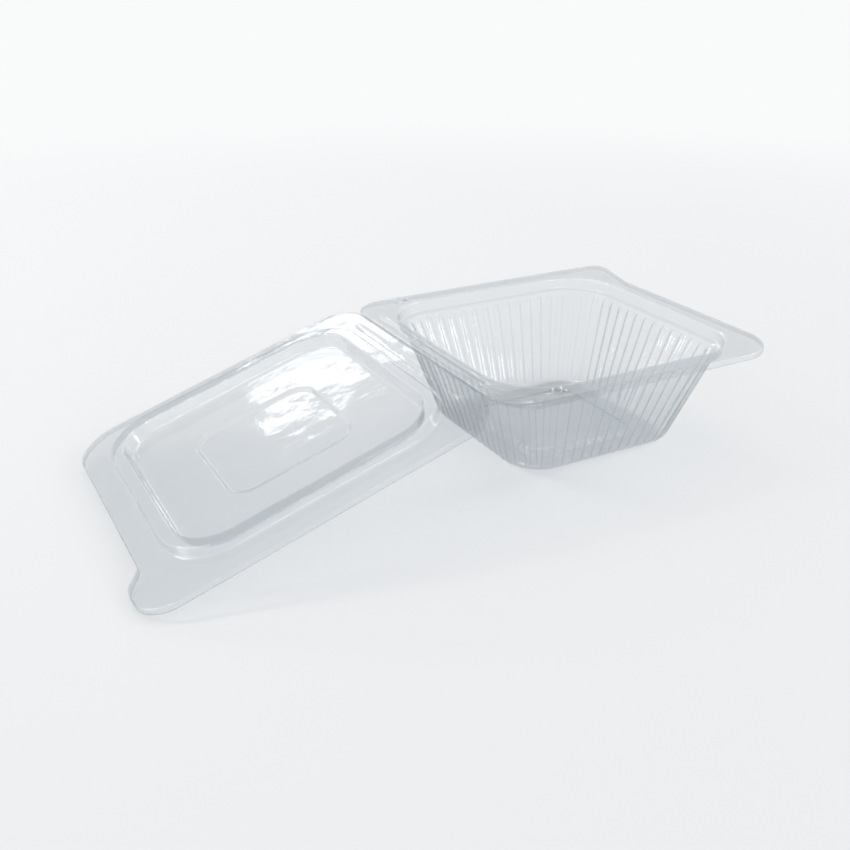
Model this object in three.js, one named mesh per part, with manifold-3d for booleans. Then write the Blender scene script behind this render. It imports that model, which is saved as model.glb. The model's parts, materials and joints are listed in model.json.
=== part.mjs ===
import * as THREE from "three";
import { mergeVertices } from "three/addons/utils/BufferGeometryUtils.js";
import Module from "manifold-3d";

// Clear hinged food container, formed from one thin sheet: the tub stands on its base and
// the lid is folded back over the hinge until its far edge rests on the table.
// Millimetres, +Z up. Both halves are drawn closed, with the middle of the tub at x = 0.

const SHEET = 0.4; // thickness of the plastic
const WIDTH = 127; // along the hinge
const LENGTH = 134; // hinge line to the tips of the tabs
const HEIGHT = 48; // closed
const RIM_HEIGHT = 44; // top of the tub's flange

// gaps between the two halves
const HINGE_GAP = 0.35; // hinge line to the edge of either half
const CLOSED_GAP = 0.3; // between the flanges when closed
const PLUG_GAP = 0.35; // between the lid's plug and the tub's rim wall

// flange, tabs and lip
const FLANGE = 9.5; // opening to the edge, at the front and the sides
const HINGE_FLANGE = 10.5; // opening to the hinge line
const TAB_REACH = 6; // how far a tab stands out of the front edge
const TUB_TAB = 30; // length of the tub's pointed tab along the front
const TUB_TAB_NOSE = 7.5; // and of its blunt nose
const TUB_TAB_BEND = 12;
const TUB_TAB_CORNERS = [4, 3.5];
const LID_TAB = 27; // length of the lid's rounded tab
const LID_TAB_NOSE = 19;
const LID_TAB_BEND = 6;
const LID_TAB_CORNER = 12;
const PLAIN_CORNER = 18;
const HINGE_CORNER = 14;
const LIP = 1.9; // turned edge round the flange
const HINGE_LIP = 0.4; // what is left of it along the hinge

// tub
const OPENING_CORNER = 23; // inside the rim wall, at the flange
const RIM_WALL = 4.4; // height of the smooth band under the flange
const RIM_WALL_LEAN = 0.4;
const LEDGE = 2.3; // step from the rim wall in to the fluted wall
const LEDGE_DROP = 0.8;
const DRAFT = THREE.MathUtils.degToRad(18.6); // lean of the fluted wall
const BASE_CORNER = 16;
const BASE_FILLET = 5;
const FLUTES = 64;
const FLUTE_DEPTH = 1;
const FLUTE_TOP = 1.8; // from the ledge down to the arches
const FLUTE_ARCH = 2.4; // height of an arch
const FLUTE_OPEN = 0.64; // share of the pitch that a flute takes at the base
const FLUTE_CLOSE = 0.44; // and under its arch
const ISLAND = 52; // raised middle of the base
const ISLAND_RISE = 1.6;
const ISLAND_CORNER = 9;
const BEVEL = 1.2; // slope round the island and round the lid's panel

// lid
const PANEL = 50; // raised middle, keys into the base above it in a stack
const PANEL_RISE = 1.4;
const PLUG_DEPTH = 3.4;
const PLUG_FOOT = 0.8; // chamfer
const GROOVE = 7; // width of the channel inside the plug
const GROOVE_LEAN = 1.4;

// marks embossed in the flanges
const CHANNEL_LENGTH = 84;
const CHANNEL_WIDTH = 3.2;
const RIBS = 3;
const RIB_LENGTH = 6;
const RIB_WIDTH = 1.6;
const RIB_PITCH = 2.8;
const EMBOSS = 0.9;
const CUT_PAST = 1; // how far a cut runs past the face it opens

const ARC_STEP = Math.PI / 16;
const side = WIDTH / 2;
const opening = side - FLANGE; // half the width inside the rim wall
const stretch = (LENGTH - TAB_REACH - FLANGE - HINGE_FLANGE) / 2 - opening; // 0 where it is square
const front = opening + stretch + FLANGE;
const tip = front + TAB_REACH;
const hingeX = tip - LENGTH;
const hingeZ = RIM_HEIGHT + CLOSED_GAP / 2;
const backEdge = hingeX + HINGE_GAP;

const wasm = await Module();
wasm.setup();

// A closed outline through corners [x, y, radius], counter-clockwise.
function roundedOutline(corners) {
  const points = [];
  corners.forEach(([x, y, radius], i) => {
    const corner = new THREE.Vector2(x, y);
    const back = new THREE.Vector2(...corners.at(i - 1)).sub(corner).normalize();
    const ahead = new THREE.Vector2(...corners[(i + 1) % corners.length]).sub(corner).normalize();
    const between = Math.acos(back.dot(ahead));
    const turn = Math.sign(ahead.cross(back)) * (Math.PI - between);
    const centre = back.clone().add(ahead).setLength(radius / Math.sin(between / 2)).add(corner);
    const start = back.clone().setLength(radius / Math.tan(between / 2)).add(corner);
    const steps = Math.max(2, Math.round(Math.abs(turn) / ARC_STEP));
    for (let k = 0; k <= steps; k++)
      points.push(start.clone().rotateAround(centre, (turn * k) / steps));
  });
  return points;
}

// The outline moved outwards by a distance.
function grown(points, distance) {
  return points.map((point, i) => {
    const before = point.clone().sub(points.at(i - 1)).normalize();
    const after = points[(i + 1) % points.length].clone().sub(point).normalize();
    const k = distance / (1 + before.dot(after));
    return new THREE.Vector2(point.x + (before.y + after.y) * k, point.y - (before.x + after.x) * k);
  });
}

// A place on a rounded square, or on one drawn out by the stretch, given by its share of
// the way round and moved in by a distance.
function placeOnSquare(half, corner, share, inward) {
  const straight = half - corner;
  const quarter = 2 * straight + (Math.PI / 2) * corner;
  const turns = Math.floor(share * 4);
  const run = (share * 4 - turns) * quarter;
  const point = new THREE.Vector2(half - inward, Math.min(run, straight));
  if (run > straight) {
    const angle = Math.min((run - straight) / corner, Math.PI / 2);
    point.rotateAround(new THREE.Vector2(straight, straight), angle);
    point.x -= Math.max(run - straight - (Math.PI / 2) * corner, 0);
  }
  point.rotateAround(new THREE.Vector2(), (turns * Math.PI) / 2);
  point.x += stretch * THREE.MathUtils.clamp(point.x / straight, -1, 1);
  return point;
}

// A level is one closed ring of a sheet: how far it is from the middle, its height, and
// its points when it is moved outwards by some distance.
function squareLevel(half, corner, z) {
  const ring = (grow) => {
    const [a, r] = [half + grow, corner + grow];
    const b = a + stretch;
    return roundedOutline([[b, a, r], [-b, a, r], [-b, -a, r], [b, -a, r]]);
  };
  return { half, z, ring };
}

function fluteLevel(half, corner, z, depth, open) {
  const cuts = [[-open, 0], [-open / 2, depth], [open / 2, depth], [open, 0]];
  const ring = (grow) =>
    Array.from({ length: FLUTES }, (_, flute) =>
      cuts.map(([offset, inward]) =>
        placeOnSquare(half + grow, corner + grow, (flute + 0.5 + offset / 2) / FLUTES, inward),
      ),
    ).flat();
  return { half, z, ring };
}

function outlineLevel(points, inset, z, heightAt) {
  return { half: side - inset, z, heightAt, ring: (grow) => grown(points, grow - inset) };
}

// How far the lip turns at a place: in full, but for the hinge side, where it runs out.
function lipAt(point) {
  const share = THREE.MathUtils.smoothstep(point.x, backEdge, backEdge + HINGE_CORNER);
  return THREE.MathUtils.lerp(HINGE_LIP, LIP, share);
}

// A sheet of even thickness: the levels give its lower face from the middle to the edge.
function formSheet(levels) {
  const slopes = levels.slice(1).map((level, i) =>
    new THREE.Vector2(levels[i].z - level.z, level.half - levels[i].half).normalize(),
  );
  slopes.unshift(new THREE.Vector2(0, 1));
  slopes.push(slopes.at(-1));

  const positions = [];
  const addRing = (points, height) =>
    points.map((point) => {
      positions.push(point.x, point.y, height(point));
      const angle = (Math.atan2(point.y, point.x) + 2 * Math.PI) % (2 * Math.PI);
      return { vertex: positions.length / 3 - 1, angle };
    });
  const ringAt = (level, outward, up) =>
    addRing(level.ring(outward), (point) => (level.heightAt ? level.heightAt(point) : level.z) + up);
  const middle = [new THREE.Vector2()];

  const lower = levels.map((level) => ringAt(level, 0, 0));
  const upper = levels.map((level, i) => {
    const k = SHEET / (1 + slopes[i].dot(slopes[i + 1]));
    return ringAt(level, (slopes[i].x + slopes[i + 1].x) * k, (slopes[i].y + slopes[i + 1].y) * k);
  });
  const rings = [
    addRing(middle, () => levels[0].z),
    ...lower,
    ...upper.reverse(),
    addRing(middle, () => levels[0].z + SHEET),
  ];

  const triangles = [];
  rings.slice(1).forEach((b, n) => joinRings(rings[n], b, triangles));
  return makeSolid(positions, triangles);
}

// Triangles between two rings: point to point where they match, and by direction elsewhere.
function joinRings(a, b, triangles) {
  const matched = a.length === b.length;
  const at = (ring, k) => ring[k % ring.length];
  const order = (ring, k) => (matched ? k : at(ring, k).angle + (k >= ring.length ? 2 * Math.PI : 0));
  const lastA = a.length > 1 ? a.length : 0;
  const lastB = b.length > 1 ? b.length : 0;
  let i = 0;
  let j = 0;
  while (i < lastA || j < lastB) {
    if (i === lastA || (j < lastB && order(b, j + 1) <= order(a, i + 1))) {
      triangles.push(at(a, i).vertex, at(b, j + 1).vertex, at(b, j).vertex);
      j++;
    } else {
      triangles.push(at(a, i).vertex, at(a, i + 1).vertex, at(b, j).vertex);
      i++;
    }
  }
}

function makeSolid(positions, triangles) {
  const mesh = new wasm.Mesh({
    numProp: 3,
    vertProperties: new Float32Array(positions),
    triVerts: new Uint32Array(triangles),
  });
  return new wasm.Manifold(mesh);
}

// A bar with round ends between two heights, as a solid.
function bar(x, y, length, width, along, low, high) {
  const reach = (length - width) / 2;
  const shape = new THREE.Shape()
    .absarc(reach, 0, width / 2, -Math.PI / 2, Math.PI / 2)
    .absarc(-reach, 0, width / 2, Math.PI / 2, (3 * Math.PI) / 2);
  const options = { depth: high - low, bevelEnabled: false, curveSegments: 5 };
  const extruded = new THREE.ExtrudeGeometry(shape, options);
  extruded.rotateZ(along).translate(x, y, low);
  extruded.deleteAttribute("normal").deleteAttribute("uv");
  const closed = mergeVertices(extruded, 1e-4);
  return makeSolid(closed.attributes.position.array, closed.index.array);
}

// A mark pressed out of a flange: hollow behind, and as thick as the sheet.
function press(body, flangeLow, up, x, y, length, width, along) {
  const low = up ? flangeLow + SHEET / 2 : flangeLow - EMBOSS;
  const skin = bar(x, y, length, width, along, low, low + EMBOSS + SHEET / 2);
  const hollowLow = up ? flangeLow - CUT_PAST : flangeLow + SHEET - EMBOSS;
  const hollow = bar(
    x, y, length - 2 * SHEET, width - 2 * SHEET, along, hollowLow, hollowLow + EMBOSS + CUT_PAST,
  );
  return body.add(skin).subtract(hollow);
}

function toGeometry(solid) {
  const mesh = solid.getMesh();
  return new THREE.BufferGeometry()
    .setAttribute("position", new THREE.BufferAttribute(mesh.vertProperties, 3))
    .setIndex(new THREE.BufferAttribute(mesh.triVerts, 1));
}

const plastic = () =>
  new THREE.MeshStandardMaterial({ color: 0xdfe7ea, transparent: true, opacity: 0.35, roughness: 0.12 });
const channelX = (backEdge - opening - stretch) / 2;

function makeTub() {
  const low = RIM_HEIGHT - SHEET;
  const half = opening + SHEET;
  const corner = OPENING_CORNER + SHEET;
  const foot = RIM_WALL_LEAN + LEDGE;
  const wallTop = low - RIM_WALL - LEDGE_DROP;
  const wallHalf = (z) => half - foot - (wallTop - z) * Math.tan(DRAFT);
  const wallCorner = (z) => THREE.MathUtils.lerp(BASE_CORNER, corner - foot, z / wallTop);
  const wall = (z, depth, open) => fluteLevel(wallHalf(z), wallCorner(z), z, depth, open);

  const turn = Math.PI / 2 - DRAFT;
  const filletTop = BASE_FILLET * (1 - Math.cos(turn));
  const fillet = (share, depth, open) => {
    const inward = BASE_FILLET * (Math.sin(turn) - Math.sin(turn * share));
    const z = BASE_FILLET * (1 - Math.cos(turn * share));
    return fluteLevel(wallHalf(filletTop) - inward, wallCorner(filletTop) - inward, z, depth, open);
  };

  const outline = roundedOutline([
    [front, side - TUB_TAB, TUB_TAB_BEND],
    [tip, side - TUB_TAB_NOSE, TUB_TAB_CORNERS[0]],
    [tip, side, TUB_TAB_CORNERS[1]],
    [backEdge, side, HINGE_CORNER],
    [backEdge, -side, HINGE_CORNER],
    [front, -side, PLAIN_CORNER],
  ]);
  const archTop = wallTop - FLUTE_TOP;
  let body = formSheet([
    squareLevel(ISLAND / 2 - BEVEL, ISLAND_CORNER - BEVEL, ISLAND_RISE),
    squareLevel(ISLAND / 2, ISLAND_CORNER, 0),
    fillet(0, 0, FLUTE_OPEN / 2),
    fillet(0.5, 0.6 * FLUTE_DEPTH, FLUTE_OPEN),
    fillet(1, FLUTE_DEPTH, FLUTE_OPEN),
    wall(archTop / 2, 0.9 * FLUTE_DEPTH, (FLUTE_OPEN + FLUTE_CLOSE) / 2),
    wall(archTop - FLUTE_ARCH, 0.55 * FLUTE_DEPTH, FLUTE_CLOSE),
    wall(archTop, 0, FLUTE_CLOSE / 3),
    squareLevel(wallHalf(wallTop), wallCorner(wallTop), wallTop),
    squareLevel(half - RIM_WALL_LEAN, corner - RIM_WALL_LEAN, low - RIM_WALL),
    squareLevel(half, corner, low),
    outlineLevel(outline, SHEET, low),
    outlineLevel(outline, SHEET, low - LIP, (point) => low - lipAt(point)),
  ]);

  body = press(body, low, false, channelX, 0, CHANNEL_LENGTH, CHANNEL_WIDTH, Math.PI / 2);
  for (const y of [-1, 1])
    for (let k = 0; k < RIBS; k++) {
      const x = backEdge + HINGE_CORNER + RIB_LENGTH + k * RIB_PITCH;
      body = press(body, low, false, x, (y * (side + half)) / 2, RIB_LENGTH, RIB_WIDTH, Math.PI / 2);
    }
  const tub = new THREE.Mesh(toGeometry(body), plastic());
  tub.name = "tub";
  return tub;
}

function makeLid() {
  const low = RIM_HEIGHT + CLOSED_GAP;
  const panelLow = HEIGHT - SHEET;
  const deckLow = panelLow - PANEL_RISE;
  const plugLow = RIM_HEIGHT - PLUG_DEPTH;
  const footTop = plugLow + PLUG_FOOT;
  const lean = (RIM_WALL_LEAN / RIM_WALL) * (low - footTop);
  const plug = (inward, z) =>
    squareLevel(opening - PLUG_GAP - inward, OPENING_CORNER - PLUG_GAP - inward, z);

  const outline = roundedOutline([
    [front, side, PLAIN_CORNER],
    [backEdge, side, HINGE_CORNER],
    [backEdge, -side, HINGE_CORNER],
    [tip, -side, LID_TAB_CORNER],
    [tip, LID_TAB_NOSE - side, LID_TAB_BEND],
    [front, LID_TAB - side, LID_TAB_BEND],
  ]);
  let body = formSheet([
    squareLevel(PANEL / 2 - BEVEL, ISLAND_CORNER - BEVEL, panelLow),
    squareLevel(PANEL / 2, ISLAND_CORNER, deckLow),
    plug(GROOVE, deckLow),
    plug(GROOVE - GROOVE_LEAN, plugLow),
    plug(lean + PLUG_FOOT, plugLow),
    plug(lean, footTop),
    plug(0, low),
    outlineLevel(outline, 0, low),
    outlineLevel(outline, 0, low + SHEET + LIP, (point) => low + SHEET + lipAt(point)),
  ]);
  body = press(body, low, true, channelX, 0, CHANNEL_LENGTH, CHANNEL_WIDTH, Math.PI / 2);
  const lid = new THREE.Mesh(toGeometry(body).translate(-hingeX, 0, -hingeZ), plastic());
  lid.name = "lid";
  return lid;
}

// How far past level the open lid drops before some point of it meets the table.
function openDrop(geometry) {
  const points = geometry.attributes.position;
  let drop = Math.PI / 2;
  for (let i = 0; i < points.count; i++) {
    const [out, up] = [points.getX(i), points.getZ(i)];
    const reach = Math.hypot(out, up);
    if (reach > hingeZ) drop = Math.min(drop, Math.asin(hingeZ / reach) - Math.atan2(up, out));
  }
  return drop;
}

const tub = makeTub();
const lid = makeLid();
lid.position.set(hingeX, 0, hingeZ);
lid.rotation.y = -(Math.PI + openDrop(lid.geometry));

// The origin is under the middle of the whole, on the table.
const container = new THREE.Group();
container.add(tub, lid);
const box = new THREE.Box3().setFromObject(container, true);
container.position.set(-(box.min.x + box.max.x) / 2, -(box.min.y + box.max.y) / 2, -box.min.z);

export default container;
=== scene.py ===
import json
import math

import bpy
from mathutils import Matrix, Vector


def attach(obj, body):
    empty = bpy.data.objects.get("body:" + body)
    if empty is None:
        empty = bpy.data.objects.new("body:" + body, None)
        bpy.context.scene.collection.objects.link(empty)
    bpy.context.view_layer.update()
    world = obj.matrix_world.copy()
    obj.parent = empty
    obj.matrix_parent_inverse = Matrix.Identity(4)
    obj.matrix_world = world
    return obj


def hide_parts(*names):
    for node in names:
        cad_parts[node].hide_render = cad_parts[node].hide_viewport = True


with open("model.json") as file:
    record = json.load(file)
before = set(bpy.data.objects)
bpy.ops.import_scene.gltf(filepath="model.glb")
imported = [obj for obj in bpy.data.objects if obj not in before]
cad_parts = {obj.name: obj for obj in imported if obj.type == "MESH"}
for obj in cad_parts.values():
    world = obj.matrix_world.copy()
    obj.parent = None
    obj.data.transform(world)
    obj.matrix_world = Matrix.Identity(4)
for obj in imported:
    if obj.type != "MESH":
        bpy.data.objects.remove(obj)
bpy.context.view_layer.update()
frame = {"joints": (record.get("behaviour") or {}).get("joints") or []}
print("frame loaded")

mm = 0.001
hinge = frame["joints"][0]
hingeSpot = Vector(hinge["pos_m"])
foldedBack = math.radians(hinge["range_deg"][1])  # how far the lid turns to close
slack = 1e-9  # what rounding may leave

# sizes that both halves share, in millimetres from the middle of the tub
sheetForm = {
    "thickness": 0.38,
    "side": 63.5,
    "tip": 69.5,
    "hingeX": -64.5,
    "hingeGap": 0.35,
    "rimHeight": 44.0,
    "closedGap": 0.3,
    "opening": 54.0,
    "openingCorner": 23.0,
    "plainCorner": 18.0,
    "hingeCorner": 14.0,
    "lip": 1.9,
    "hingeLip": 0.4,
    "lipFlare": 0.02,
    "lipBegins": 0.45,  # off the flange's face
    "flatRim": 0.5,  # of the flange beside the opening
    "channelReach": 42.0,
    "channelRadius": 1.6,
    "channelRings": (-1.8, -1.45, -1.1, -0.6, 0.6, 1.1, 1.45, 1.8),
    "channelSoft": 0.3,  # what its sloping side takes off its radius
    "channelSlope": 0.35,
    "emboss": 0.85,
}
backEdge = sheetForm["hingeX"] + sheetForm["hingeGap"]
channelX = (backEdge - sheetForm["opening"]) / 2
toFrame = Matrix.Translation((hingeSpot.x - sheetForm["hingeX"] * mm, 0, 0)) @ Matrix.Scale(mm, 4)


def smooth(low, high, x):
    t = min(max((x - low) / (high - low), 0.0), 1.0)
    return t * t * (3 - 2 * t)


def between(a, b, t):
    return a + (b - a) * t


# Corners are (x, y, radius), in order round the outline.
def roundedOutline(corners, arcStep=math.radians(4)):
    points = []
    for i, (x, y, radius) in enumerate(corners):
        here = Vector((x, y))
        back = (Vector(corners[i - 1][:2]) - here).normalized()
        ahead = (Vector(corners[(i + 1) % len(corners)][:2]) - here).normalized()
        opening = back.angle(ahead)
        turn = math.copysign(math.pi - opening, ahead.x * back.y - ahead.y * back.x)
        centre = here + (back + ahead).normalized() * (radius / math.sin(opening / 2))
        start = here + back * (radius / math.tan(opening / 2)) - centre
        steps = max(3, round(abs(turn) / arcStep))
        for k in range(steps + 1):
            angle = turn * k / steps
            c, s = math.cos(angle), math.sin(angle)
            points.append(centre + Vector((start.x * c - start.y * s, start.x * s + start.y * c)))
    return points


# A point on a rounded square, a share of the way round from its right side, pressed in there.
def squarePoint(half, corner, share, inward=0.0):
    share %= 1.0
    straight = half - corner
    quarter = 2 * straight + math.pi / 2 * corner
    turns = int(share * 4)
    run = (share * 4 - turns) * quarter
    x, y = half - inward, min(run, straight)
    if run > straight:
        angle = min((run - straight) / corner, math.pi / 2)
        c, s = math.cos(angle), math.sin(angle)
        x, y = x - straight, 0.0
        x, y = straight + x * c, straight + x * s
        x -= max(run - straight - math.pi / 2 * corner, 0.0)
    for _ in range(turns):
        x, y = -y, x
    return Vector((x, y))


# Where a ray from the middle meets the outline, and the way out of it there.
def onOutline(outline, direction):
    for i, a in enumerate(outline):
        edge = outline[(i + 1) % len(outline)] - a
        cross = direction.x * edge.y - direction.y * edge.x
        if abs(cross) < slack:
            continue
        reach = (a.x * edge.y - a.y * edge.x) / cross
        along = (a.x * direction.y - a.y * direction.x) / cross
        if reach > 0 and -slack <= along <= 1 + slack:
            return direction * reach, Vector((edge.y, -edge.x)).normalized()
    raise ValueError("the outline is open")


# A section's vertices are (reach, height, corner, radius): each is rounded by its radius.
def roundedSection(vertices, pieces):
    section = [vertices[0][:3]]
    for before, here, after in zip(vertices, vertices[1:], vertices[2:]):
        spot = Vector(here[:2])
        back, ahead = Vector(before[:2]) - spot, Vector(after[:2]) - spot
        opening = back.angle(ahead)
        radius = here[3]
        if radius == 0 or opening > math.pi - 0.02:  # sharp, or nearly straight
            section.append(here[:3])
            continue
        room = min(back.length, ahead.length) * 0.49  # so that neighbours never meet
        tangent = min(radius / math.tan(opening / 2), room)
        start = spot + back.normalized() * tangent
        end = spot + ahead.normalized() * tangent
        cornerStart = between(here[2], before[2], tangent / back.length)
        cornerEnd = between(here[2], after[2], tangent / ahead.length)
        for k in range(pieces + 1):
            t = k / pieces
            spotAt = start * (1 - t) ** 2 + spot * 2 * t * (1 - t) + end * t**2
            section.append((spotAt.x, spotAt.y, between(cornerStart, cornerEnd, t)))
    section.append(vertices[-1][:3])
    return section


# A sheet through a section: rings of points from the middle of the part to its trimmed edge.
# ringAt gives a ring's points, as shares of the way round and how far each is pressed in.
def formSheet(name, section, outline, rimHalf, rimCorner, ringAt, heightAt):
    side = sheetForm["side"]
    rimRing = ringAt(rimHalf, sheetForm["rimHeight"])
    rim = [squarePoint(rimHalf, rimCorner, share) for share, _ in rimRing]
    edges = [onOutline(outline, point.normalized()) for point in rim]
    count = len(rim)
    points = []
    for reach, height, corner in section:
        for k, (share, inward) in enumerate(ringAt(reach, height)):
            if reach <= rimHalf:
                place = squarePoint(reach, corner, share, inward)
            else:
                out, normal = edges[k]
                place = rim[k].lerp(out, min((reach - rimHalf) / (side - rimHalf), 1.0))
                place = place + normal * max(reach - side, 0.0)
            points.append((place.x, place.y, heightAt(place, height, reach)))
    faces = [tuple(range(count))]  # the flat middle, then a band between each ring and the next
    for ring in range(len(section) - 1):
        a, b = ring * count, (ring + 1) * count
        for k in range(count):
            after = (k + 1) % count
            faces.append((a + k, b + k, b + after, a + after))
    mesh = bpy.data.meshes.new(name)
    mesh.from_pydata(points, [], faces)
    mesh.polygons.foreach_set("use_smooth", [False] + [True] * (len(faces) - 1))
    piece = bpy.data.objects.new(name, mesh)
    bpy.context.collection.objects.link(piece)
    return piece


def thicken(piece, thickness):
    solidify = piece.modifiers.new("sheet", "SOLIDIFY")
    solidify.thickness = thickness
    solidify.offset = 1.0
    solidify.material_offset_rim = 1  # the trimmed edge has a look of its own
    piece.modifiers.new("evenShading", "WEIGHTED_NORMAL")


def capsule(place, x, y0, y1, radius, soft):  # 1 inside a bar with round ends, 0 outside
    nearest = min(max(place.y, y0), y1)
    distance = math.hypot(place.x - x, place.y - nearest)
    return 1 - smooth(radius - soft, radius + soft, distance)


def lipAt(place):  # the lip is lower along the fold
    away = smooth(backEdge, backEdge + sheetForm["hingeCorner"], place.x)
    return between(sheetForm["hingeLip"], sheetForm["lip"], away)


def channel(place):
    reach = sheetForm["channelReach"] - sheetForm["channelRadius"]
    radius, soft = sheetForm["channelRadius"] - sheetForm["channelSoft"], sheetForm["channelSlope"]
    return sheetForm["emboss"] * capsule(place, channelX, -reach, reach, radius, soft)


def channelReaches(half):  # reaches of the rings across the channel beside the fold
    widening = (sheetForm["side"] - half) / (-backEdge - half)
    return [half + (across - channelX - half) * widening for across in sheetForm["channelRings"]]


tubForm = {
    "flutes": 64,
    "fluteDepth": 1.0,
    "fluteTopDepth": 0.85,
    "fluteShare": (0.64, 0.46),  # of the room for one flute, at the foot and at the top
    "fluteSide": ((0.3, 1.0), (0.68, 1.0), (0.84, 0.5), (1.0, 0.0)),  # shares of half width and of depth
    "fluteTopWidth": 0.25,
    "archBelowLedge": 1.3,
    "archHeight": 1.7,
    "archStep": 0.4,
    "archRings": 8,
    "wallRings": 7,
    "filletRings": 8,
    "rimWall": 4.4,
    "rimLean": 0.4,
    "rimRadii": (0.6, 0.7, 0.9, 0.5),  # at the wall's top, over the ledge, at the flange and at the lip
    "ledge": 2.3,
    "ledgeDrop": 0.8,
    "draft": math.radians(18.6),
    "baseCorner": 16.0,
    "baseFillet": 5.0,
    "island": 26.0,
    "islandRise": 1.6,
    "islandCorner": 9.0,
    # offset from its edge, share of its rise and radius there
    "islandSteps": ((-1.5, 1, 0), (-1.0, 1, 0.5), (0.1, 0, 0.8), (2.0, 0, 0)),
    "tab": 30.0,
    "tabRadii": (12.0, 4.0, 3.5),  # where it leaves the side, along its end and at its point
    "ribs": (-44.15, -41.35, -38.55),
    "ribMiddle": 58.9,
    "ribHalf": 2.2,
    "ribRise": 0.7,
    "ribRadius": 0.5,
    "ribSlope": 0.4,
}


def makeTub():
    t = sheetForm["thickness"]
    low = sheetForm["rimHeight"] - t
    half, corner = sheetForm["opening"] + t, sheetForm["openingCorner"] + t
    foot = tubForm["rimLean"] + tubForm["ledge"]
    wallTop = low - tubForm["rimWall"] - tubForm["ledgeDrop"]
    slope = math.tan(tubForm["draft"])
    side, tip, lip = sheetForm["side"], sheetForm["tip"], sheetForm["lip"]

    def wallHalf(z):
        return half - foot - (wallTop - z) * slope

    def wallCorner(z):
        return between(tubForm["baseCorner"], corner - foot, z / wallTop)

    turn = math.pi / 2 - tubForm["draft"]
    radius = tubForm["baseFillet"]
    filletTop = radius * (1 - math.cos(turn))
    archTop = wallTop - tubForm["archBelowLedge"]

    island, islandCorner = tubForm["island"], tubForm["islandCorner"]
    section = roundedSection([
        (island + offset, tubForm["islandRise"] * rise, islandCorner + offset, bend)
        for offset, rise, bend in tubForm["islandSteps"]
    ], 3)
    for k in range(tubForm["filletRings"] + 1):
        share = k / tubForm["filletRings"]
        inward = radius * (math.sin(turn) - math.sin(turn * share))
        z = radius * (1 - math.cos(turn * share))
        section.append((wallHalf(filletTop) - inward, z, wallCorner(filletTop) - inward))
    archStep, archRings, wallRings = tubForm["archStep"], tubForm["archRings"], tubForm["wallRings"]
    archFoot = archTop - archStep * archRings
    heights = [between(filletTop, archFoot, k / wallRings) for k in range(1, wallRings + 1)]
    heights += [archFoot + archStep * k for k in range(1, archRings + 2)]
    section += [(wallHalf(z), z, wallCorner(z)) for z in heights]
    wallBend, ledgeBend, flangeBend, lipBend = tubForm["rimRadii"]
    wallEnd = wallTop - 0.3  # just under the ledge
    rim = [
        (wallHalf(wallEnd), wallEnd, wallCorner(wallEnd), 0),
        (wallHalf(wallTop), wallTop, wallCorner(wallTop), wallBend),
        (half - tubForm["rimLean"], low - tubForm["rimWall"], corner - tubForm["rimLean"], ledgeBend),
        (half, low, corner, flangeBend),
    ]
    rim += [(reach, low, corner, 0) for reach in channelReaches(half)]
    rim += [(side - t, low, corner, lipBend), (side - t + sheetForm["lipFlare"], low - lip, corner, 0)]
    section += roundedSection(rim, 4)

    # ten points to a flute: its floor, its two flanks and the land beside it
    def ringAt(reach, z):
        width = between(*tubForm["fluteShare"], min(z / archTop, 1.0)) / 2
        depth = between(tubForm["fluteDepth"], tubForm["fluteTopDepth"], z / archTop)
        depth *= smooth(0.0, filletTop * 0.8, z)  # it grows out of the rounded foot
        over = max(z - (archTop - tubForm["archHeight"]), 0.0) / tubForm["archHeight"]
        if z <= slack or over >= 1:
            depth = 0.0
        elif over > 0:
            width *= max(math.sqrt(1 - over**2), tubForm["fluteTopWidth"])
            depth *= math.sqrt(1 - over**4)
        oneSide = [(share * width, press * depth) for share, press in tubForm["fluteSide"]]
        oneSide.append(((width + 0.5) / 2, 0.0))
        flute = [(-offset, press) for offset, press in reversed(oneSide)] + oneSide
        count = tubForm["flutes"]
        return [((k + 0.5 + offset) / count, press) for k in range(count) for offset, press in flute]

    def heightAt(place, z, reach):
        if reach <= half + sheetForm["flatRim"]:
            return z
        if z < low - sheetForm["lipBegins"]:  # the turned lip
            return low - lipAt(place) * (low - z) / lip
        press = channel(place)
        middle = math.copysign(tubForm["ribMiddle"], place.y)
        ends = middle - tubForm["ribHalf"], middle + tubForm["ribHalf"]
        for x in tubForm["ribs"]:
            rib = capsule(place, x, *ends, tubForm["ribRadius"], tubForm["ribSlope"])
            press = max(press, tubForm["ribRise"] * rib)
        return z - press

    tabFoot, tabSide, tabPoint = tubForm["tabRadii"]
    outline = roundedOutline([
        (side, side - tubForm["tab"], tabFoot),
        (tip, side - tubForm["tab"] / 4, tabSide),
        (tip, side, tabPoint),
        (backEdge, side, sheetForm["hingeCorner"]),
        (backEdge, -side, sheetForm["hingeCorner"]),
        (side, -side, sheetForm["plainCorner"]),
    ])
    tub = formSheet("tubShell", section, outline, half, corner, ringAt, heightAt)
    tub.data.transform(toFrame)
    thicken(tub, t * mm)
    return tub


lidForm = {
    "pointsRound": 400,
    "top": 48.0,
    "panel": 25.0,
    "panelCorner": 9.0,
    "panelRise": 1.4,
    "panelSteps": ((-1.6, 1, 0), (-1.1, 1, 0.5), (0, 0, 0.9), (2, 0, 0)),  # as islandSteps
    "plugGap": 0.35,
    "plugDepth": 3.4,
    "groove": 7.0,
    "grooveLean": 1.4,
    "plugLean": 0.27,
    "rimRadii": (1.1, 1.0, 1.3, 0.8, 0.5),  # deck, groove's two feet, flange and lip
    "tab": 27.0,
    "tabEnd": 19.0,
    "tabRadii": (12.0, 6.0, 6.0),  # at its outer corner, its inner corner and where it leaves the side
}


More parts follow.
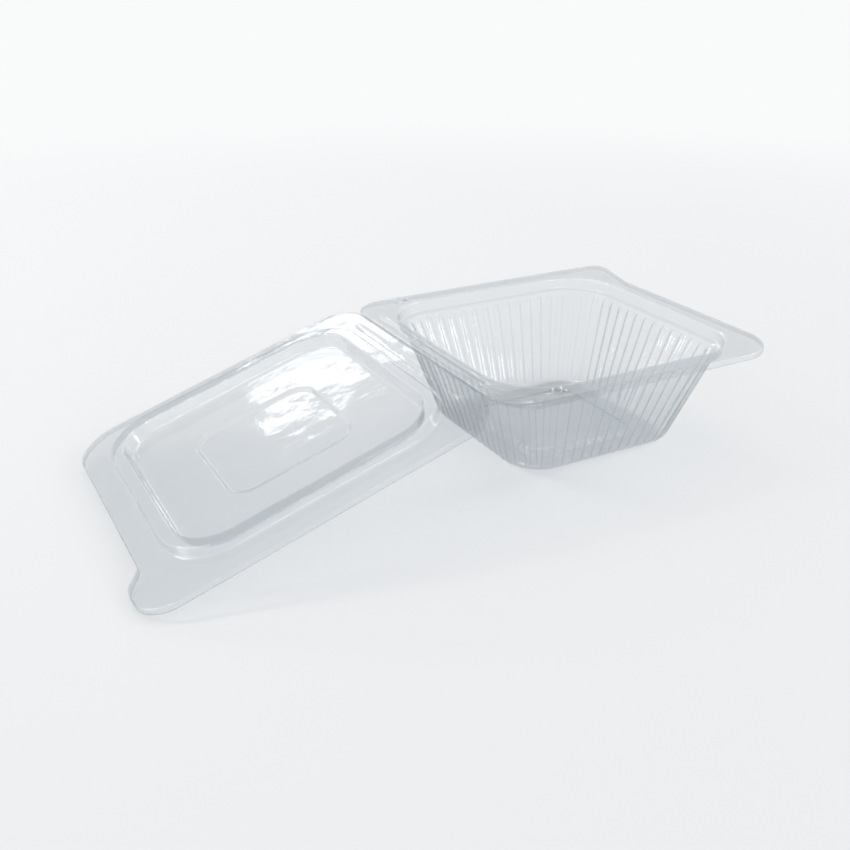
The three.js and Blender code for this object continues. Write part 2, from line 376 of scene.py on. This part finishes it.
def makeLid():
    t = sheetForm["thickness"]
    low = sheetForm["rimHeight"] + sheetForm["closedGap"]
    side, tip, lip = sheetForm["side"], sheetForm["tip"], sheetForm["lip"]
    half = sheetForm["opening"] - lidForm["plugGap"]
    corner = sheetForm["openingCorner"] - lidForm["plugGap"]
    deckLow = lidForm["top"] - t - lidForm["panelRise"]
    plugLow = sheetForm["rimHeight"] - lidForm["plugDepth"]
    panel, panelCorner = lidForm["panel"], lidForm["panelCorner"]
    groove, grooveFoot = lidForm["groove"], lidForm["groove"] - lidForm["grooveLean"]
    deckEnd = groove + 2  # the deck stays flat up to here
    deckBend, innerBend, plugBend, flangeBend, lipBend = lidForm["rimRadii"]
    rim = [
        (panel + offset, deckLow + lidForm["panelRise"] * rise, panelCorner + offset, bend)
        for offset, rise, bend in lidForm["panelSteps"]
    ]
    rim += [
        (half - deckEnd, deckLow, corner - deckEnd, 0),
        (half - groove, deckLow, corner - groove, deckBend),
        (half - grooveFoot, plugLow, corner - grooveFoot, innerBend),
        (half - lidForm["plugLean"], plugLow, corner - lidForm["plugLean"], plugBend),
        (half, low, corner, flangeBend),
    ]
    rim += [(reach, low, corner, 0) for reach in channelReaches(half)]
    rim += [(side, low, corner, lipBend), (side + sheetForm["lipFlare"], low + t + lip, corner, 0)]
    section = roundedSection(rim, 5)

    def heightAt(place, z, reach):
        if reach <= half + sheetForm["flatRim"]:
            return z
        if z > low + sheetForm["lipBegins"]:  # the turned lip
            return low + t + (lipAt(place) + t) * (z - low) / (lip + t) - t
        return z + channel(place)

    tabOuter, tabInner, tabFoot = lidForm["tabRadii"]
    outline = roundedOutline([
        (side, side, sheetForm["plainCorner"]),
        (backEdge, side, sheetForm["hingeCorner"]),
        (backEdge, -side, sheetForm["hingeCorner"]),
        (tip, -side, tabOuter),
        (tip, lidForm["tabEnd"] - side, tabInner),
        (side, lidForm["tab"] - side, tabFoot),
    ])
    count = lidForm["pointsRound"]
    ring = [((k + 0.5) / count, 0.0) for k in range(count)]
    lid = formSheet("lidShell", section, outline, half, corner, lambda reach, z: ring, heightAt)
    turnBack = Matrix.Rotation(-foldedBack, 4, "Y")
    lid.data.transform(Matrix.Translation(hingeSpot) @ turnBack @ Matrix.Translation(-hingeSpot) @ toFrame)
    thicken(lid, t * mm)
    return lid


foldForm = {"reach": 49.0, "thickness": 0.16, "steps": 60, "drop": 0.35, "overlap": 0.1, "ripple": 0.2}


# A thin strip from a flange's edge to the fold line. Both ends are in millimetres from that line.
def makeFold(name, start, end):
    along = Vector((end[0] - start[0], end[1] - start[1]))
    over = Vector((-along.y, along.x)).normalized() * foldForm["thickness"] / 2
    begin = Vector(start) - along.normalized() * foldForm["overlap"]
    corners = [begin + over, Vector(end) + over, Vector(end) - over, begin - over]
    points, faces = [], []
    for k in range(foldForm["steps"] + 1):
        y = between(-foldForm["reach"], foldForm["reach"], k / foldForm["steps"])
        points += [hingeSpot + Vector((corner.x, y, corner.y)) * mm for corner in corners]
    for k in range(foldForm["steps"]):
        for i in range(4):
            a, b = 4 * k + i, 4 * k + (i + 1) % 4
            faces.append((a, b, b + 4, a + 4))
    faces += [(3, 2, 1, 0), tuple(4 * foldForm["steps"] + i for i in range(4))]
    mesh = bpy.data.meshes.new(name)
    mesh.from_pydata(points, [], faces)
    mesh.update()
    piece = bpy.data.objects.new(name, mesh)
    bpy.context.collection.objects.link(piece)
    return piece


class Wire:
    def __init__(self, look, socket):
        self.look, self.socket = look, socket

    def work(self, operation, first, second):
        return self.look.make("ShaderNodeMath", {"operation": operation}, {0: first, 1: second})

    def __add__(self, other):
        return self.work("ADD", self, other)

    def __sub__(self, other):
        return self.work("SUBTRACT", self, other)

    def __rsub__(self, other):
        return self.work("SUBTRACT", other, self)

    def __mul__(self, other):
        return self.work("MULTIPLY", self, other)

    def __pow__(self, other):
        return self.work("POWER", self, other)

    __radd__ = __add__
    __rmul__ = __mul__


class Look:
    def __init__(self, owner):  # a material or a world
        self.owner = owner
        owner.use_nodes = True
        self.tree = owner.node_tree
        self.tree.nodes.clear()

    def make(self, kind, settings=None, sockets=None, output=0):
        node = self.tree.nodes.new(kind)
        for key, value in (settings or {}).items():
            if key == "stops":
                for element, (position, color) in zip(node.color_ramp.elements, value):
                    element.position, element.color = position, color
            else:
                setattr(node, key, value)
        for key, value in (sockets or {}).items():
            if isinstance(value, Wire):
                self.tree.links.new(value.socket, node.inputs[key])
            else:
                node.inputs[key].default_value = value
        return Wire(self, node.outputs[output]) if node.outputs else None

    def finish(self, surface, output="ShaderNodeOutputMaterial"):
        self.make(output, {}, {"Surface": surface})
        return self.owner


clearForm = {
    "glass": (0.960, 0.967, 0.972, 1),
    # grey of the sheet's own haze, also shown edge-on as painted shade for the darker look a clear sheet
    # has seen from the side
    "body": (0.46, 0.50, 0.525, 1),
    "shine": (0.97, 0.985, 1.0, 1),
    "gloss": 0.03,
    "hazeGloss": 0.07,
    "bodyGloss": 0.12,  # more than the shine's
    "ior": 1.5,
    "waves": (55.0, 2.0, 0.45),  # scale, detail and roughness of a noise, as in the next two
    "skin": (420.0, 2.0, 0.5),
    "haze": (26.0, 5.0, 0.6),
    "skinShare": 0.1,
    "ripple": 0.35,
    "rippleDepth": 0.0011,
    "mirror": 0.045,
    "edgeMirror": 0.9,
    "mirrorPower": 5.0,
    "thinOpacity": 0.025,
    "hazeOpacity": 0.03,
    # painted shade: how much of the grey body the sheet shows when seen edge-on
    "edgeShadeOpacity": 0.85,
    "edgeShadePower": 4.5,
    "shadowEase": 0.45,
}


def makeClear(name, ripple=clearForm["ripple"]):
    look = Look(bpy.data.materials.new(name))
    where = look.make("ShaderNodeTexCoord", output="Object")

    def noise(scale, detail, roughness):
        return look.make("ShaderNodeTexNoise", {}, {
            "Vector": where, "Scale": scale, "Detail": detail, "Roughness": roughness,
        })

    haze = noise(*clearForm["haze"])
    relief = noise(*clearForm["waves"]) + noise(*clearForm["skin"]) * clearForm["skinShare"]
    normal = look.make("ShaderNodeBump", {}, {
        "Strength": ripple, "Distance": clearForm["rippleDepth"], "Height": relief,
    })
    edge = look.make("ShaderNodeLayerWeight", {}, {"Blend": 0.5, "Normal": normal}, output="Facing")
    # most light goes on through to the table, so shadows are lighter than the sheet looks
    lets = 1 - look.make("ShaderNodeLightPath", output="Is Shadow Ray") * clearForm["shadowEase"]
    # the sheet mirrors more the more it is seen from the side
    glance = (clearForm["mirror"] + clearForm["edgeMirror"] * edge ** clearForm["mirrorPower"]) * lets
    milky = haze * clearForm["hazeOpacity"] + clearForm["thinOpacity"]
    # the grey shown edge-on is painted shade for the darkening at the sheet's edges and flute flanks;
    # milky is the sheet's own haze
    opacity = edge ** clearForm["edgeShadePower"] * clearForm["edgeShadeOpacity"] + milky
    polish = haze * clearForm["hazeGloss"] + clearForm["gloss"]
    clear = look.make("ShaderNodeBsdfTransparent", {}, {"Color": clearForm["glass"]})
    body = look.make("ShaderNodeBsdfPrincipled", {}, {
        "Base Color": clearForm["body"], "Roughness": polish + clearForm["bodyGloss"],
        "IOR": clearForm["ior"], "Normal": normal,
    })
    shine = look.make("ShaderNodeBsdfPrincipled", {}, {
        "Base Color": clearForm["shine"], "Metallic": 1.0, "Roughness": polish, "Normal": normal,
    })
    film = look.make("ShaderNodeMixShader", {}, {0: opacity * lets, 1: clear, 2: body})
    return look.finish(look.make("ShaderNodeMixShader", {}, {0: glance, 1: film, 2: shine}))


cutForm = {
    "color": (0.50, 0.56, 0.60, 1),
    "opacity": 0.6,
    "gloss": 0.3,
    "nicks": 900.0,
    "nickShare": 0.2,
    "nickRipple": 0.3,
    "nickDepth": 0.0002,
}


def makeCutEdge(name):  # light runs along the sheet and comes out at its trimmed edge
    look = Look(bpy.data.materials.new(name))
    where = look.make("ShaderNodeTexCoord", output="Object")
    nicks = look.make("ShaderNodeTexNoise", {}, {
        "Vector": where, "Scale": cutForm["nicks"], "Detail": 2.0,
    })
    normal = look.make("ShaderNodeBump", {}, {
        "Strength": cutForm["nickRipple"], "Distance": cutForm["nickDepth"], "Height": nicks,
    })
    clear = look.make("ShaderNodeBsdfTransparent", {}, {"Color": clearForm["glass"]})
    body = look.make("ShaderNodeBsdfPrincipled", {}, {
        "Base Color": cutForm["color"], "Normal": normal,
        "Roughness": nicks * cutForm["nickShare"] + cutForm["gloss"],
    })
    thickness = nicks * cutForm["nickShare"] + (cutForm["opacity"] - cutForm["nickShare"] / 2)
    return look.finish(look.make("ShaderNodeMixShader", {}, {0: thickness, 1: clear, 2: body}))


cutEdge = makeCutEdge("cutEdge")
tub = makeTub()
tub.data.materials.append(makeClear("clearSheetTub"))
tub.data.materials.append(cutEdge)
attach(tub, "tub")
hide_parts("tub")
print("tub made", len(tub.data.polygons), "faces")

lid = makeLid()
lid.data.materials.append(makeClear("clearSheetLid"))
lid.data.materials.append(cutEdge)
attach(lid, "lid")
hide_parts("lid")
print("lid made", len(lid.data.polygons), "faces")

tubStart = Vector((sheetForm["hingeGap"], 0, -foldForm["drop"]))
lidStart = Matrix.Rotation(-foldedBack, 3, "Y") @ Vector((sheetForm["hingeGap"], 0, foldForm["drop"]))
tubFold = makeFold("foldTub", (tubStart.x, tubStart.z), (0.0, 0.0))
lidFold = makeFold("foldLid", (lidStart.x, lidStart.z), (0.0, 0.0))
foldMaterial = makeClear("clearFold", foldForm["ripple"])
for piece, body in ((tubFold, "tub"), (lidFold, "lid")):
    piece.data.materials.append(foldMaterial)
    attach(piece, body)
print("fold made")

floorForm = {
    "near": (0.91, 0.914, 0.918, 1),
    "far": (0.95, 0.955, 0.96, 1),
    "fadeFrom": 0.25,
    "fadeTo": 0.9,
    "size": 12.0,
    "drop": 0.0004,
    "grain": 9.0,
    "grainShare": 0.1,
    "gloss": 0.55,
    "mirror": 0.2,
}


def makePale(name):  # lit close to the part, and an even pale tone further off
    look = Look(bpy.data.materials.new(name))
    where = look.make("ShaderNodeTexCoord", output="Object")
    grain = look.make("ShaderNodeTexNoise", {}, {
        "Vector": where, "Scale": floorForm["grain"], "Detail": 3.0,
    })
    reach = look.make("ShaderNodeVectorMath", {"operation": "LENGTH"}, {0: where}, output="Value")
    fade = look.make("ShaderNodeMapRange", {"interpolation_type": "SMOOTHSTEP"}, {
        "Value": reach, "From Min": floorForm["fadeFrom"], "From Max": floorForm["fadeTo"],
    })
    lit = look.make("ShaderNodeBsdfPrincipled", {}, {
        "Base Color": floorForm["near"], "Specular IOR Level": floorForm["mirror"],
        "Roughness": grain * floorForm["grainShare"] + floorForm["gloss"],
    })
    even = look.make("ShaderNodeEmission", {}, {"Color": floorForm["far"], "Strength": 1.0})
    return look.finish(look.make("ShaderNodeMixShader", {}, {0: fade, 1: lit, 2: even}))


bpy.ops.mesh.primitive_plane_add(size=floorForm["size"], location=(0, 0, -floorForm["drop"]))
floor = bpy.context.object
floor.name = "floor"
floor.data.materials.append(makePale("paleFloor"))
print("floor made")

lampAim = Vector((0, 0, 0.02))
lamps = {
    "keyLamp": {"at": (-0.75, 0.6, 0.85), "size": (0.14, 0.6), "power": 3.0},
    "fillLamp": {"at": (0.95, -0.3, 0.7), "size": (0.12, 0.5), "power": 2.0},
    "topLamp": {"at": (0.15, 0.6, 1.2), "size": (0.6, 0.14), "power": 2.1},
    "stripLamp": {"at": (0.36, 1.1, 0.72), "size": (0.9, 0.09), "power": 0.9},
    "frontLamp": {"at": (0.1, -1.15, 0.25), "size": (0.8, 0.09), "power": 2.4},
    "sideLamp": {"at": (-1.15, 0.05, 0.2), "size": (0.5, 0.09), "power": 1.6},
}
for name, lamp in lamps.items():
    light = bpy.data.lights.new(name, "AREA")
    light.shape = "RECTANGLE"
    light.size, light.size_y = lamp["size"]
    light.energy = lamp["power"]
    holder = bpy.data.objects.new(name, light)
    holder.location = lamp["at"]
    holder.rotation_euler = (lampAim - Vector(lamp["at"])).to_track_quat("-Z", "Y").to_euler()
    bpy.context.collection.objects.link(holder)

skyForm = {"level": (0.96, 0.965, 0.97, 1), "overhead": (0.5, 0.51, 0.52, 1), "overheadFrom": 0.75}


def makeSky(name):  # pale at the level of the table and greyer overhead
    look = Look(bpy.data.worlds.new(name))
    where = look.make("ShaderNodeTexCoord", output="Generated")
    upward = look.make("ShaderNodeSeparateXYZ", {}, {0: where}, output="Z")
    stops = [(0.0, skyForm["level"]), (skyForm["overheadFrom"], skyForm["overhead"])]
    tone = look.make("ShaderNodeValToRGB", {"stops": stops}, {0: upward})
    paint = look.make("ShaderNodeBackground", {}, {"Color": tone, "Strength": 1.0})
    return look.finish(paint, "ShaderNodeOutputWorld")


bpy.context.scene.world = makeSky("studioWorld")

cameraForm = {
    "azimuth": -28.5,
    "elevation": 25.0,
    "distance": 0.41,
    "lens": 43.6,
    "target": (0.0, 0.0, 0.012),
}
azimuth, elevation = math.radians(cameraForm["azimuth"]), math.radians(cameraForm["elevation"])
target = Vector(cameraForm["target"])
away = Vector((
    math.sin(azimuth) * math.cos(elevation), -math.cos(azimuth) * math.cos(elevation), math.sin(elevation),
))
lens = bpy.data.cameras.new("camera")
lens.lens = cameraForm["lens"]
lens.clip_start = 0.01
camera = bpy.data.objects.new("camera", lens)
camera.location = target + away * cameraForm["distance"]
camera.rotation_euler = (-away).to_track_quat("-Z", "Y").to_euler()
bpy.context.collection.objects.link(camera)
bpy.context.scene.camera = camera
bpy.context.scene.view_settings.view_transform = "Standard"
print("studio made")
